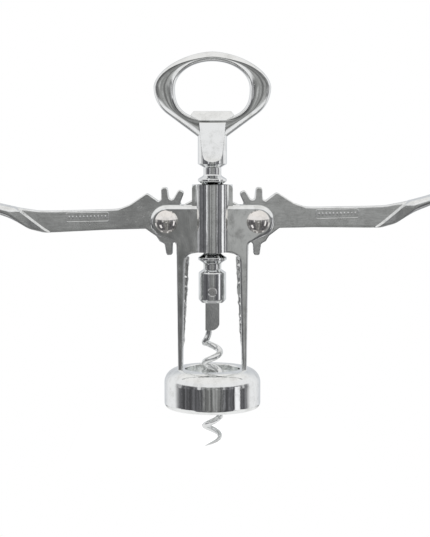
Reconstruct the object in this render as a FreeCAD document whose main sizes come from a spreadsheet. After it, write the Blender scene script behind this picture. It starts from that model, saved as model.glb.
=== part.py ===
import FreeCAD, Part
import math
import os
import re
import Sketcher

# Lever corkscrew, in millimetres. The origin is the centre of the lower end of the bell's bore, just above
# its rounded rim. +Z runs up the worm's axis to the opener, the levers lie along X, and -Y is the front.

doc = FreeCAD.newDocument("lever_corkscrew")
sheet = doc.addObject("Spreadsheet::Sheet", "dims")
Vector = FreeCAD.Vector

bellSizes = {
    "bell_radius": 20.4,
    "bell_height": 15.0,
    "bell_shoulder_radius": 6.0,
    "rim_drop": 1.7,             # from the end of the bore down to the rim
    "rim_round": 2.2,
    "bell_hole_radius": 11.6,
    "mouth_radius": 16.0,
    "mouth_depth": 12.4,
}

barrelSizes = {
    "barrel_radius": 8.5,
    "barrel_block_half_width": 8.5,
    "barrel_block_half_depth": 5.0,
    "barrel_bore_radius": 6.4,
    "barrel_bottom": 64.6,
    "barrel_top": 92.8,
}

earSizes = {
    "pivot_spacing": 19.1,       # from the worm's axis to each pivot
    "pivot_height": 77.5,
    "ear_radius": 6.9,
    "ear_slope": 0.4,            # rise over run of the edge under each ear
    "ear_edge_round": 1.9,
    "leg_edge_round": 0.85,
    "slot_reach": 40.0,
    "plate_half_depth": 5.7,
    "slot_half_depth": 2.8,      # the levers' gears turn in this slot
    "slot_bottom": 62.7,
    "slot_top": 87.9,
    "leg_outer_top": 15.1,
    "leg_outer_bottom": 14.5,
    "leg_inner_top": 11.4,
    "leg_inner_bottom": 12.5,
    "leg_root_height": 13.6,
    "arch_height": 63.6,
    "arch_half_width": 5.4,
    "web_half_depth": 0.8,
    "web_reach": 1.5,
    "web_bottom": 24.5,
    "web_top": 62.5,
}

rackSizes = {
    "ring_radius": 6.03,
    "ring_root_radius": 3.75,
    "ring_pitch": 6.6,
    "ring_half_rim": 0.5,
    "ring_half_root": 1.95,
    "lowest_ring_height": 61.7,
    "sleeve_bore_radius": 2.2,
    "sleeve_bottom": 57.2,
    "sleeve_top": 99.8,
    "spindle_radius": 2.15,
    "spindle_bottom": 51.8,
    "spindle_top": 110.0,
    "thrust_gap": 0.1,           # end play between the sleeve and what turns above and below it
}

socketSizes = {
    "socket_radius": 5.8,
    "socket_neck_radius": 3.9,
    "socket_shoulder": 55.8,
    "socket_lower_edge": 44.4,
    "socket_bottom": 43.1,
    "socket_bottom_radius": 4.7,
    "socket_slot_top": 50.9,
    "pin_height": 48.0,
    "pin_radius": 2.0,
    "pin_half_length": 5.7,
}

wormSizes = {
    "worm_radius": 3.2,          # from the axis to the wire's centre line
    "wire_radius": 1.3,
    "worm_pitch": 9.07,
    "worm_top": 26.4,
    "worm_turns": 4.95,
    "worm_tip_radius": 0.18,
    "shank_half_width": 2.95,
    "shank_half_depth": 1.4,
    "shank_bottom": 31.2,
    "shank_top": 50.9,
}

gearSizes = {
    "gear_tip_radius": 14.3,
    "gear_root_radius": 9.2,
    "gear_tooth_step": 30.0,     # degrees between the teeth
    "gear_first_tooth": 93.2,    # degrees above the direction that points at the rack
    "tooth_root_half_width": 1.7,
    "tooth_tip_half_width": 1.35,
    "gear_half_depth": 2.5,
    "hub_bore_radius": 2.55,
    "lever_play": 1.2,           # degrees by which the left arm hangs lower and the right arm stands higher
}

armSizes = {
    "arm_half_depth": 2.1,
    "shoulder_reach": 8.3,
    "shoulder_rise": 11.7,
    "panel_start": 24.5,
    "panel_length": 17.6,
    "panel_height": 3.7,
    "panel_lift": 2.4,           # the sunk panel's middle, above the lever's centre line
    "panel_depth": 0.3,
    "paddle_half_width": 6.6,
    "lever_length": 84.0,
}

rivetSizes = {
    "rivet_radius": 2.5,
    "rivet_head_radius": 4.8,
    "rivet_head_height": 2.9,
    "rivet_tail_radius": 3.5,
    "rivet_tail_height": 1.3,
    "washer_radius": 5.2,
    "washer_thickness": 0.8,
}

handleSizes = {
    "stem_radius": 6.1,
    "stem_chamfer": 1.6,
    "stem_neck_radius": 3.75,
    "stem_top": 119.0,
    "flat_start_height": 102.3,
    "flat_top_half_depth": 1.9,
    "ring_half_width": 24.6,
    "ring_wide_height": 133.4,
    "ring_top_height": 148.7,
    "ring_corner_radius": 13.75,
    "ring_foot_half_width": 6.3,
    "ring_foot_height": 112.8,
    "ring_half_depth": 2.9,
    "ring_edge_round": 1.2,
    "eye_half_width": 15.5,
    "eye_half_height": 11.75,
    "eye_height": 132.7,
    "lip_half_width": 9.0,
    "lip_height": 123.5,
    "lip_half_depth": 1.9,
}

allSizes = [bellSizes, barrelSizes, earSizes, rackSizes, socketSizes, wormSizes,
            gearSizes, armSizes, rivetSizes, handleSizes]


def fillSheet():
    row = 1
    for group in allSizes:
        for name, value in group.items():
            sheet.set("A%d" % row, name)
            sheet.set("B%d" % row, str(value))
            sheet.setAlias("B%d" % row, name)
            row += 1
    doc.recompute()


def size(name):
    return float(sheet.get(name))


def formula(text):
    # puts the sheet's name before each size's name
    return re.sub(r"\b([a-z][a-z_]*)\b(?!\()", r"dims.\1", text)


def bind(thing, prop, text):
    thing.setExpression(prop, formula(text))


def newBody(label):
    body = doc.addObject("PartDesign::Body", label)
    body.Label = label
    return body


def plane(body, role):
    for feature in body.Origin.OriginFeatures:
        if feature.Role == role:
            return feature
    raise ValueError(role)


def newSketch(body, role, name):
    sketch = body.newObject("Sketcher::SketchObject", name)
    sketch.AttachmentSupport = [(plane(body, role), "")]
    sketch.MapMode = "FlatFace"
    return sketch


def outline(body, role, name, corners):
    # a closed outline of straight sides, each corner held at two formulas
    sketch = newSketch(body, role, name)
    places = []
    for across, along in corners:
        places.append((body.evalExpression(formula(across)), body.evalExpression(formula(along))))
    places = [Vector(float(a), float(b), 0) for a, b in places]
    count = len(corners)
    for i in range(count):
        sketch.addGeometry(Part.LineSegment(places[i], places[(i + 1) % count]))
    for i in range(count):
        sketch.addConstraint(Sketcher.Constraint("Coincident", i, 2, (i + 1) % count, 1))
    for i, (across, along) in enumerate(corners):
        n = sketch.addConstraint(Sketcher.Constraint("DistanceX", -1, 1, i, 1, places[i].x))
        bind(sketch, "Constraints[%d]" % n, across)
        n = sketch.addConstraint(Sketcher.Constraint("DistanceY", -1, 1, i, 1, places[i].y))
        bind(sketch, "Constraints[%d]" % n, along)
    return sketch


def circles(body, role, name, centres, radius):
    # circles of one radius, each centre held at two formulas
    sketch = newSketch(body, role, name)
    for i, (across, along) in enumerate(centres):
        a = float(body.evalExpression(formula(across)))
        b = float(body.evalExpression(formula(along)))
        r = float(body.evalExpression(formula(radius)))
        sketch.addGeometry(Part.Circle(Vector(a, b, 0), Vector(0, 0, 1), r))
        n = sketch.addConstraint(Sketcher.Constraint("DistanceX", -1, 1, i, 3, a))
        bind(sketch, "Constraints[%d]" % n, across)
        n = sketch.addConstraint(Sketcher.Constraint("DistanceY", -1, 1, i, 3, b))
        bind(sketch, "Constraints[%d]" % n, along)
        n = sketch.addConstraint(Sketcher.Constraint("Radius", i, r))
        bind(sketch, "Constraints[%d]" % n, radius)
    return sketch


def feature(body, kind, name, profile, **values):
    made = body.newObject("PartDesign::" + kind, name)
    made.Profile = profile
    for key, value in values.items():
        if isinstance(value, str):
            bind(made, key, value)
        else:
            setattr(made, key, value)
    doc.recompute()
    return made


def revolved(body, name, profile, kind="Revolution"):
    made = body.newObject("PartDesign::" + kind, name)
    made.Profile = profile
    made.ReferenceAxis = (profile, ["V_Axis"])
    made.Angle = 360
    doc.recompute()
    return made


def edgesWhere(base, test):
    names = []
    for i, edge in enumerate(base.Shape.Edges, 1):
        if test(edge):
            names.append("Edge%d" % i)
    return names


def rounded(body, name, base, test, radius):
    names = edgesWhere(base, test)
    made = body.newObject("PartDesign::Fillet", name)
    made.Base = (base, names)
    made.Radius = radius
    made.Refine = False
    doc.recompute()
    print(name, "rounds", len(names), "edges", made.State)
    return made


def near(a, b, slack=0.02):
    return abs(a - b) < slack


def circleEdge(edge, radius, height):
    # whether the edge is a circle about the axis, of this radius and at this height
    curve = edge.Curve
    if not isinstance(curve, Part.Circle):
        return False
    middle = curve.Center
    level = near(middle.z, height) and near(middle.x, 0) and near(middle.y, 0)
    return level and near(curve.Radius, radius)


def makeBell():
    body = newBody("bell_casting")
    corners = [
        ("mouth_radius", "0"),
        ("mouth_radius + 1", "-rim_drop"),
        ("bell_radius", "-rim_drop"),
        ("bell_radius", "bell_height"),
        ("bell_hole_radius", "bell_height"),
        ("bell_hole_radius", "mouth_depth"),
        ("mouth_radius", "mouth_depth"),
    ]
    profile = outline(body, "XZ_Plane", "bell_profile", corners)
    bell = revolved(body, "bell", profile)
    shoulder = lambda e: circleEdge(e, size("bell_radius"), size("bell_height"))
    bell = rounded(body, "bell_shoulder", bell, shoulder, size("bell_shoulder_radius"))
    rim = lambda e: circleEdge(e, size("bell_radius"), -size("rim_drop"))
    bell = rounded(body, "bell_rim", bell, rim, size("rim_round"))
    hole = lambda e: circleEdge(e, size("bell_hole_radius"), size("bell_height"))
    rounded(body, "bell_hole_edge", bell, hole, 0.6)
    return body


def mirroredCorners(right):
    left = [("-(%s)" % across, along) for across, along in reversed(right)]
    return right + left


def makePlates(body):
    # the ear's top and lower edges run on until they meet, and that corner is then rounded about the pivot
    long = "sqrt(1 + ear_slope * ear_slope)"
    corner = "pivot_spacing + ear_radius * (1 + %s) / ear_slope" % long
    knee = "pivot_height - ear_radius * %s + ear_slope * (leg_outer_top - pivot_spacing)" % long
    right = [
        (corner, "pivot_height + ear_radius"),
        ("leg_outer_top", knee),
        ("leg_outer_bottom", "leg_root_height"),
        ("leg_inner_bottom", "leg_root_height"),
        ("leg_inner_top", "arch_height"),
        ("arch_half_width", "barrel_bottom"),
    ]
    plates = outline(body, "XZ_Plane", "plates_outline", mirroredCorners(right))
    return feature(body, "Pad", "plates", plates, Midplane=True, Length="2 * plate_half_depth")


def alongY(edge, test):
    # whether the edge is a straight one along Y whose place passes the test
    if not isinstance(edge.Curve, Part.Line):
        return False
    middle = edge.CenterOfMass
    return edge.BoundBox.YLength > 1 and test(abs(middle.x), middle.z)


def makePlatesBlank():
    body = newBody("plates_blank")
    plates = makePlates(body)
    ear = lambda e: alongY(e, lambda x, z: x > size("slot_reach"))
    plates = rounded(body, "ear_rounds", plates, ear, size("ear_radius"))
    arch = lambda e: alongY(e, lambda x, z: near(x, size("leg_inner_top")) and near(z, size("arch_height")))
    plates = rounded(body, "arch_rounds", plates, arch, 3.8)
    crownX = size("arch_half_width")
    crown = lambda e: alongY(e, lambda x, z: near(x, crownX) and near(z, size("barrel_bottom")))
    plates = rounded(body, "crown_rounds", plates, crown, 2.0)
    knee = lambda e: alongY(e, lambda x, z: near(x, size("leg_outer_top")) and z > size("arch_height"))
    rounded(body, "knee_rounds", plates, knee, 1.6)
    return body


def softened(name, base, radii):
    # a Part fillet of every edge that radii gives two radii for, at its start and its end
    doc.recompute()
    soft = doc.addObject("Part::Fillet", name)
    soft.Base = base
    given = [(i, radii(edge)) for i, edge in enumerate(base.Shape.Edges, 1)]
    soft.Edges = [(i, pair[0], pair[1]) for i, pair in given if pair]
    doc.recompute()
    print(name, "rounds", len(soft.Edges), "edges", soft.State, soft.Shape.isValid())
    return soft


def cylinder(name, radius, height, **place):
    made = doc.addObject("Part::Cylinder", name)
    bind(made, "Radius", radius)
    bind(made, "Height", height)
    for axis, text in place.items():
        bind(made, "Placement.Base." + axis, text)
    return made


def block(name, halfWidth, halfDepth, bottom, top):
    # a box centred on the worm's axis
    made = doc.addObject("Part::Box", name)
    bind(made, "Length", "2 * (%s)" % halfWidth)
    bind(made, "Width", "2 * (%s)" % halfDepth)
    bind(made, "Height", "%s - (%s)" % (top, bottom))
    bind(made, "Placement.Base.x", "-(%s)" % halfWidth)
    bind(made, "Placement.Base.y", "-(%s)" % halfDepth)
    bind(made, "Placement.Base.z", bottom)
    return made


def joined(name, shapes):
    made = doc.addObject("Part::MultiFuse", name)
    made.Shapes = shapes
    doc.recompute()
    return made


def cutAway(name, base, tool):
    made = doc.addObject("Part::Cut", name)
    made.Base = base
    made.Tool = tool
    doc.recompute()
    return made


def makeWeb(name, side):
    # the thin parting-line web that stands off a leg's inner face
    body = newBody(name)
    inner = "leg_inner_bottom + 0.3"
    corners = [
        (inner, "web_bottom"),
        (inner, "web_top"),
        ("leg_inner_top - web_reach", "web_top"),
        ("leg_inner_bottom - 0.2 * web_reach", "web_bottom"),
    ]
    if side < 0:
        corners = [("-(%s)" % across, along) for across, along in reversed(corners)]
    web = outline(body, "XZ_Plane", name + "_outline", corners)
    feature(body, "Pad", name + "_pad", web, Midplane=True, Length="2 * web_half_depth")
    return body


def makeFrame():
    def faceEdge(edge):
        box = edge.BoundBox
        flat = near(abs(box.YMin), size("plate_half_depth")) and near(box.YMax, box.YMin)
        if not flat or box.ZMax < size("leg_root_height") + 0.5:
            return None
        return [edgeRadius(vertex.Point) for vertex in (edge.firstVertex(), edge.lastVertex())]

    def edgeRadius(point):
        # broad along the ears' tops and round their ends, narrow below the ears and down the legs
        high = point.z > size("pivot_height") + 0.5 * size("ear_radius")
        return size("ear_edge_round") if high else size("leg_edge_round")
    plates = softened("plates", makePlatesBlank(), faceEdge)
    tube = cylinder("barrel_tube", "barrel_radius", "barrel_top - barrel_bottom", z="barrel_bottom")
    sides = block("barrel_block", "barrel_block_half_width", "barrel_block_half_depth",
                  "barrel_bottom", "barrel_top")

    def blockTop(edge):
        box = edge.BoundBox
        high = near(box.ZMin, size("barrel_top")) and near(box.ZMax, size("barrel_top"))
        return (1.7, 1.7) if high and box.YLength > 1 and box.XLength < 0.01 else None
    sides = softened("barrel_sides", sides, blockTop)
    webs = [makeWeb("web_right", 1), makeWeb("web_left", -1)]
    casting = joined("casting", [plates, tube, sides, makeBell()] + webs)
    bore = cylinder("barrel_bore", "barrel_bore_radius", "barrel_top - arch_height", z="arch_height + 1")
    slot = block("gear_slot", "slot_reach", "slot_half_depth", "slot_bottom", "slot_top")
    tools = [bore, slot]
    for name, across in (("pivot_hole_right", "pivot_spacing"), ("pivot_hole_left", "-pivot_spacing")):
        hole = cylinder(name, "rivet_radius", "4 * plate_half_depth", x=across, y="-2 * plate_half_depth",
                        z="pivot_height")
        hole.Placement.Rotation = FreeCAD.Rotation(Vector(1, 0, 0), -90)
        tools.append(hole)
    frame = cutAway("frame", casting, joined("frame_tools", tools))
    frame.Label = "frame"
    return frame


def makeRackSleeve():
    body = newBody("rack_sleeve")
    corners = [("sleeve_bore_radius", "sleeve_bottom"), ("ring_root_radius", "sleeve_bottom")]
    for i in range(6):
        level = "lowest_ring_height + %d * ring_pitch" % i
        corners.append(("ring_root_radius", level + " - ring_half_root"))
        corners.append(("ring_radius", level + " - ring_half_rim"))
        corners.append(("ring_radius", level + " + ring_half_rim"))
        corners.append(("ring_root_radius", level + " + ring_half_root"))
    corners.append(("ring_root_radius", "sleeve_top"))
    corners.append(("sleeve_bore_radius", "sleeve_top"))
    profile = outline(body, "XZ_Plane", "sleeve_profile", corners)
    sleeve = revolved(body, "sleeve", profile)

    def rim(edge):
        curve = edge.Curve
        return isinstance(curve, Part.Circle) and near(curve.Radius, size("ring_radius"))
    sleeve = rounded(body, "ring_rims", sleeve, rim, 0.42)

    def root(edge):
        curve = edge.Curve
        inside = size("sleeve_bottom") + 1 < edge.BoundBox.ZMin < size("sleeve_top") - 1
        return isinstance(curve, Part.Circle) and near(curve.Radius, size("ring_root_radius")) and inside
    rounded(body, "ring_roots", sleeve, root, 0.9)
    return body


def makeSocket():
    body = newBody("screw_socket")
    corners = [
        ("spindle_radius", "sleeve_bottom - thrust_gap"),
        ("socket_neck_radius", "sleeve_bottom - thrust_gap"),
        ("socket_radius", "socket_shoulder"),
        ("socket_radius", "socket_lower_edge"),
        ("socket_bottom_radius", "socket_bottom"),
        ("0", "socket_bottom"),
        ("0", "spindle_bottom"),
        ("spindle_radius", "spindle_bottom"),
    ]
    profile = outline(body, "XZ_Plane", "socket_profile", corners)
    socket = revolved(body, "socket", profile)

    def turned(edge):
        curve = edge.Curve
        return isinstance(curve, Part.Circle) and near(curve.Radius, size("socket_radius"))
    rounded(body, "socket_edges", socket, turned, 0.7)
    wide = "shank_half_width"
    corners = [
        (wide, "socket_bottom - 1"),
        (wide, "socket_slot_top"),
        ("-" + wide, "socket_slot_top"),
        ("-" + wide, "socket_bottom - 1"),
    ]
    slot = outline(body, "XZ_Plane", "shank_slot_outline", corners)
    feature(body, "Pocket", "shank_slot", slot, Midplane=True, Length="2 * shank_half_depth")
    hole = circles(body, "XZ_Plane", "pin_hole_outline", [("0", "pin_height")], "pin_radius")
    feature(body, "Pocket", "pin_hole", hole, Midplane=True, Length="4 * socket_radius")
    return body


def makeSpindle():
    spindle = doc.addObject("Part::Cylinder", "spindle")
    spindle.Label = "spindle"
    bind(spindle, "Radius", "spindle_radius")
    bind(spindle, "Height", "spindle_top - spindle_bottom")
    bind(spindle, "Placement.Base.z", "spindle_bottom")
    return spindle


def makePin():
    # a straight pin along Y whose two ends are slightly domed
    body = newBody("worm_pin")
    corners = [
        ("0", "-pin_half_length"),
        ("pin_radius - 0.4", "-pin_half_length"),
        ("pin_radius", "0.25 - pin_half_length"),
        ("pin_radius", "pin_half_length - 0.25"),
        ("pin_radius - 0.4", "pin_half_length"),
        ("0", "pin_half_length"),
    ]
    profile = outline(body, "XY_Plane", "pin_profile", corners)
    revolved(body, "pin", profile)
    bind(body, "Placement.Base.z", "pin_height")
    return body


def wormGrid():
    # rings of points square to the centre line, from the shank down to the point
    pitch = size("worm_pitch")
    radius = size("worm_radius")
    turns = size("worm_turns")
    steps = int(turns * 9)
    low = size("shank_bottom")
    path = [Vector(-1.5, 0, low), Vector(-1.5, 0, low - 0.9), Vector(-1.95, 0, low - 2.6),
            Vector(-2.75, 0, low - 4.3)]
    for i in range(steps + 1):
        turn = math.pi - 2 * math.pi * turns * i / steps
        drop = pitch * turns * i / steps
        path.append(Vector(radius * math.cos(turn), radius * math.sin(turn), size("worm_top") - drop))
    grid = []
    last = len(path) - 1
    for i, point in enumerate(path):
        along = path[min(i + 1, last)] - path[max(i - 1, 0)]
        along.normalize()
        outward = Vector(point.x, point.y, 0)
        outward = outward - along * outward.dot(along)
        outward.normalize()
        side = along.cross(outward)
        toTip = (last - i) / 6.0
        thick = size("wire_radius")
        if toTip < 1:
            thick = size("worm_tip_radius") + (thick - size("worm_tip_radius")) * toTip ** 0.75
        ring = []
        for j in range(13):
            turn = 2 * math.pi * (j % 12) / 12
            ring.append(point + outward * (thick * math.cos(turn)) + side * (thick * math.sin(turn)))
        grid.append(ring)
    return grid


def wormSkin(grid):
    # one smooth surface through all the rings, cut into short faces, and the edge at each of its ends
    surface = Part.BSplineSurface()
    surface.interpolate(grid)
    _, _, start, stop = surface.bounds()
    knots = surface.getUKnots()
    cuts = list(knots[:-4:6]) + [knots[-1]]
    faces = []
    for first, last in zip(cuts[:-1], cuts[1:]):
        piece = surface.copy()
        piece.segment(first, last, start, stop)
        faces.append(piece.toShape())
    ends = []
    for ring, face in ((grid[0], faces[0]), (grid[-1], faces[-1])):
        middle = sum(ring[:-1], Vector()) * (1.0 / (len(ring) - 1))
        ends.append(min(face.Edges, key=lambda e: (e.CenterOfMass - middle).Length))
    return faces, ends


def makeShank():
    # the flattened top of the wire, its lower right corner cut away in a curve, with a hole for the pin
    wide = size("shank_half_width")
    deep = size("shank_half_depth")
    low = size("shank_bottom")
    high = size("shank_top")
    arc = Part.Arc(Vector(wide, -deep, low + 2.6), Vector(1.9, -deep, low + 0.9), Vector(0, -deep, low))
    sides = [
        arc.toShape(),
        Part.makeLine(Vector(0, -deep, low), Vector(-wide, -deep, low)),
        Part.makeLine(Vector(-wide, -deep, low), Vector(-wide, -deep, high)),
        Part.makeLine(Vector(-wide, -deep, high), Vector(wide, -deep, high)),
        Part.makeLine(Vector(wide, -deep, high), Vector(wide, -deep, low + 2.6)),
    ]
    shank = Part.Face(Part.Wire(sides)).extrude(Vector(0, 2 * deep, 0))
    start = Vector(0, -2 * deep, size("pin_height"))
    hole = Part.makeCylinder(size("pin_radius"), 4 * deep, start, Vector(0, 1, 0))
    return shank.cut(hole)


def makeWorm():
    worm = doc.addObject("Part::Feature", "worm")
    worm.Label = "worm"
    faces, ends = wormSkin(wormGrid())
    shank = makeShank()
    low = size("shank_bottom")
    flat = lambda f: f.BoundBox.ZLength < 0.01 and near(f.CenterOfMass.z, low)
    bottom = [face for face in shank.Faces if flat(face)][0]
    others = [face for face in shank.Faces if not flat(face)]
    opened = Part.Face([bottom.OuterWire, Part.Wire(ends[0])])
    opened.validate()
    tip = Part.Face(Part.Wire(ends[1]))
    shell = Part.Compound(others + faces + [opened, tip])
    shell.sewShape()
    solid = Part.Solid(shell.Shells[0])
    if solid.Volume < 0:
        solid.reverse()
    worm.Shape = solid
    return worm


def toothWire(angle):
    # a slightly tapered tooth that stands out from the hub at this angle above the rack's direction (-X)
    inner = size("gear_root_radius") - 1.5
    outer = size("gear_tip_radius")
    root = size("tooth_root_half_width")
    tip = size("tooth_tip_half_width")
    deep = size("gear_half_depth")
    shape = [(inner, -root), (outer - 0.5, -tip - 0.04), (outer, 0.55 - tip), (outer, tip - 0.55),
             (outer - 0.5, tip + 0.04), (inner, root)]
    turn = math.radians(angle)
    points = []
    for out, side in shape:
        x = -(out * math.cos(turn) - side * math.sin(turn))
        z = out * math.sin(turn) + side * math.cos(turn)
        points.append(Vector(x, -deep, z))
    points.append(points[0])
    return Part.makePolygon(points)


def flatSolid(points, halfDepth):
    corners = [Vector(x, -halfDepth, z) for x, z in points]
    corners.append(corners[0])
    return Part.Face(Part.makePolygon(corners)).extrude(Vector(0, 2 * halfDepth, 0))


def splineEdge(points):
    curve = Part.BSplineCurve()
    curve.interpolate(points)
    return curve.toShape()


def paddleSolid():
    # where the side view and the plan view of the paddle meet
    wide = size("paddle_half_width")
    end = size("lever_length")
    above = [Vector(46, 0, 5.35), Vector(54, 0, 5.5), Vector(62, 0, 6.9), Vector(72, 0, 9.4),
             Vector(end + 1, 0, 13.6)]
    below = [Vector(46, 0, -3.75), Vector(51, 0, -3.85), Vector(57, 0, -2.2), Vector(63, 0, 1.2),
             Vector(69, 0, 3.9), Vector(end + 1, 0, 9.8)]
    sideView = Part.Wire([splineEdge(above), Part.makeLine(above[-1], below[-1]),
                          splineEdge(list(reversed(below))), Part.makeLine(below[0], above[0])])
    side = Part.Face(sideView)
    side.translate(Vector(0, -10, 0))
    side = side.extrude(Vector(0, 20, 0))
    deep = size("arm_half_depth")
    edge = [Vector(45, deep, -10), Vector(50, deep + 0.4, -10), Vector(58, 0.72 * wide, -10),
            Vector(68, wide, -10),
            Vector(78, 0.93 * wide, -10), Vector(end - 1.2, 0.5 * wide, -10), Vector(end, 0, -10)]
    other = [Vector(p.x, -p.y, p.z) for p in reversed(edge)]
    rim = edge + other[1:]
    planView = Part.Wire([splineEdge(rim), Part.makeLine(rim[-1], rim[0])])
    plan = Part.Face(planView).extrude(Vector(0, 0, 40))
    return side.common(plan)


def leverShape():
    # the right lever, about its pivot: teeth toward -X, arm toward +X
    deep = size("gear_half_depth")
    hub = Part.makeCylinder(size("gear_root_radius"), 2 * deep, Vector(0, -deep, 0), Vector(0, 1, 0))
    solids = []
    for i in range(7):
        angle = size("gear_first_tooth") - i * size("gear_tooth_step")
        solids.append(Part.Face(toothWire(angle)).extrude(Vector(0, 2 * deep, 0)))
    reach = size("shoulder_reach")
    rise = size("shoulder_rise")
    shoulder = [(-0.5, 0), (3.2, 8.2), (reach - 2.4, rise - 0.5), (reach - 0.6, rise + 0.1),
                (reach + 0.6, rise - 0.2),
                (15.5, 7.2), (20.5, 5.6), (20.5, -3.0), (9, -3.0), (4, -6.5)]
    solids.append(flatSolid(shoulder, deep))
    arm = [(8, 6), (20.4, 5.6), (24, 5.45), (48, 5.35), (48, -3.75), (24, -3.05), (8, -3.0)]
    solids.append(flatSolid(arm, size("arm_half_depth")))
    solids.append(paddleSolid())
    lever = hub.multiFuse(solids)
    bore = Part.makeCylinder(size("hub_bore_radius"), 20, Vector(0, -10, 0), Vector(0, 1, 0))
    length = size("panel_length")
    tall = size("panel_height")
    sunk = size("panel_depth")
    face = size("arm_half_depth")
    foot = size("panel_lift") - tall / 2
    panel = Part.makeBox(length, sunk + 1, tall, Vector(size("panel_start"), -face - 1, foot))
    return lever.cut(bore).cut(panel).removeSplitter()


def makeLever(label, side):
    lever = doc.addObject("Part::Feature", label)
    lever.Label = label
    shape = leverShape()
    shape.rotate(Vector(0, 0, 0), Vector(0, 1, 0), -side * size("lever_play"))
    if side < 0:
        shape = shape.mirror(Vector(0, 0, 0), Vector(1, 0, 0))
    lever.Shape = shape
    bind(lever, "Placement.Base.x", "pivot_spacing" if side > 0 else "-pivot_spacing")
    bind(lever, "Placement.Base.z", "pivot_height")
    return lever


def capArc(rim, edge, apex):
    # half the outline of a spherical cap about the Y axis, from its rim at y = edge to its apex
    tall = abs(apex - edge)
    radius = (rim * rim + tall * tall) / (2 * tall)
    way = 1 if apex > edge else -1
    middle = apex - way * radius
    half = 0.5 * math.asin(rim / radius)
    between = Vector(radius * math.sin(half), middle + way * radius * math.cos(half), 0)
    return Part.Arc(Vector(rim, edge, 0), between, Vector(0, apex, 0))


def makeRivet(label, across):
    # domed head in front, plain shank through both ears and the hub, low peened tail behind the washer
    body = newBody(label)
    sketch = newSketch(body, "XY_Plane", label + "_profile")
    shank = size("rivet_radius")
    head = size("rivet_head_radius")
    high = size("rivet_head_height")
    tail = size("rivet_tail_radius")
    low = size("rivet_tail_height")
    front = -size("plate_half_depth")
    back = size("plate_half_depth") + size("washer_thickness")
    dome = capArc(head, front - 0.5, front - high)
    peen = capArc(tail, back, back + low)
    lines = [
        dome,
        Part.LineSegment(Vector(0, front - high, 0), Vector(0, back + low, 0)),
        peen,
        Part.LineSegment(Vector(tail, back, 0), Vector(shank, back, 0)),
        Part.LineSegment(Vector(shank, back, 0), Vector(shank, front, 0)),
        Part.LineSegment(Vector(shank, front, 0), Vector(head, front, 0)),
        Part.LineSegment(Vector(head, front, 0), Vector(head, front - 0.5, 0)),
    ]
    sketch.addGeometry(lines, False)
    revolved(body, label + "_turned", sketch)
    bind(body, "Placement.Base.x", across)
    bind(body, "Placement.Base.z", "pivot_height")
    return body


def makeWasher(label, across):
    body = newBody(label)
    corners = [
        ("rivet_radius", "plate_half_depth"),
        ("washer_radius", "plate_half_depth"),
        ("washer_radius", "plate_half_depth + washer_thickness"),
        ("rivet_radius", "plate_half_depth + washer_thickness"),
    ]
    profile = outline(body, "XY_Plane", label + "_profile", corners)
    ring = revolved(body, label + "_ring", profile)

    def rim(edge):
        curve = edge.Curve
        back = edge.BoundBox.YMin > size("plate_half_depth") + 0.5 * size("washer_thickness")
        return isinstance(curve, Part.Circle) and near(curve.Radius, size("washer_radius")) and back
    rounded(body, label + "_rim", ring, rim, 0.25)
    bind(body, "Placement.Base.x", across)
    bind(body, "Placement.Base.z", "pivot_height")
    return body


def handleOutline():
    # half an ellipse over the widest level, a corner arc on each side and straight flanks down to the stem
    wide = size("ring_half_width")
    level = size("ring_wide_height")
    top = size("ring_top_height")
    bend = size("ring_corner_radius")
    turn = math.atan2(4, 3)
    half = turn / 2
    foot = size("ring_foot_half_width")
    low = size("ring_foot_height")
    ellipse = Part.Ellipse(Vector(wide, 0, level), Vector(0, 0, top), Vector(0, 0, level))
    upper = Part.ArcOfEllipse(ellipse, 0, math.pi).toShape()
    if upper.CenterOfMass.z < level:
        upper = Part.ArcOfEllipse(ellipse, math.pi, 2 * math.pi).toShape()

    def corner(side):
        middle = side * (wide - bend)
        start = Vector(side * wide, 0, level)
        mid = Vector(middle + side * bend * math.cos(half), 0, level - bend * math.sin(half))
        stop = Vector(middle + side * bend * math.cos(turn), 0, level - bend * math.sin(turn))
        return Part.Arc(start, mid, stop).toShape(), stop
    rightArc, rightStop = corner(1)
    leftArc, leftStop = corner(-1)
    sides = [
        upper,
        rightArc,
        Part.makeLine(rightStop, Vector(foot, 0, low)),
        Part.makeLine(Vector(foot, 0, low), Vector(-foot, 0, low)),
        Part.makeLine(Vector(-foot, 0, low), leftStop),
        leftArc,
    ]
    return Part.Wire(Part.__sortEdges__(sides))


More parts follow.
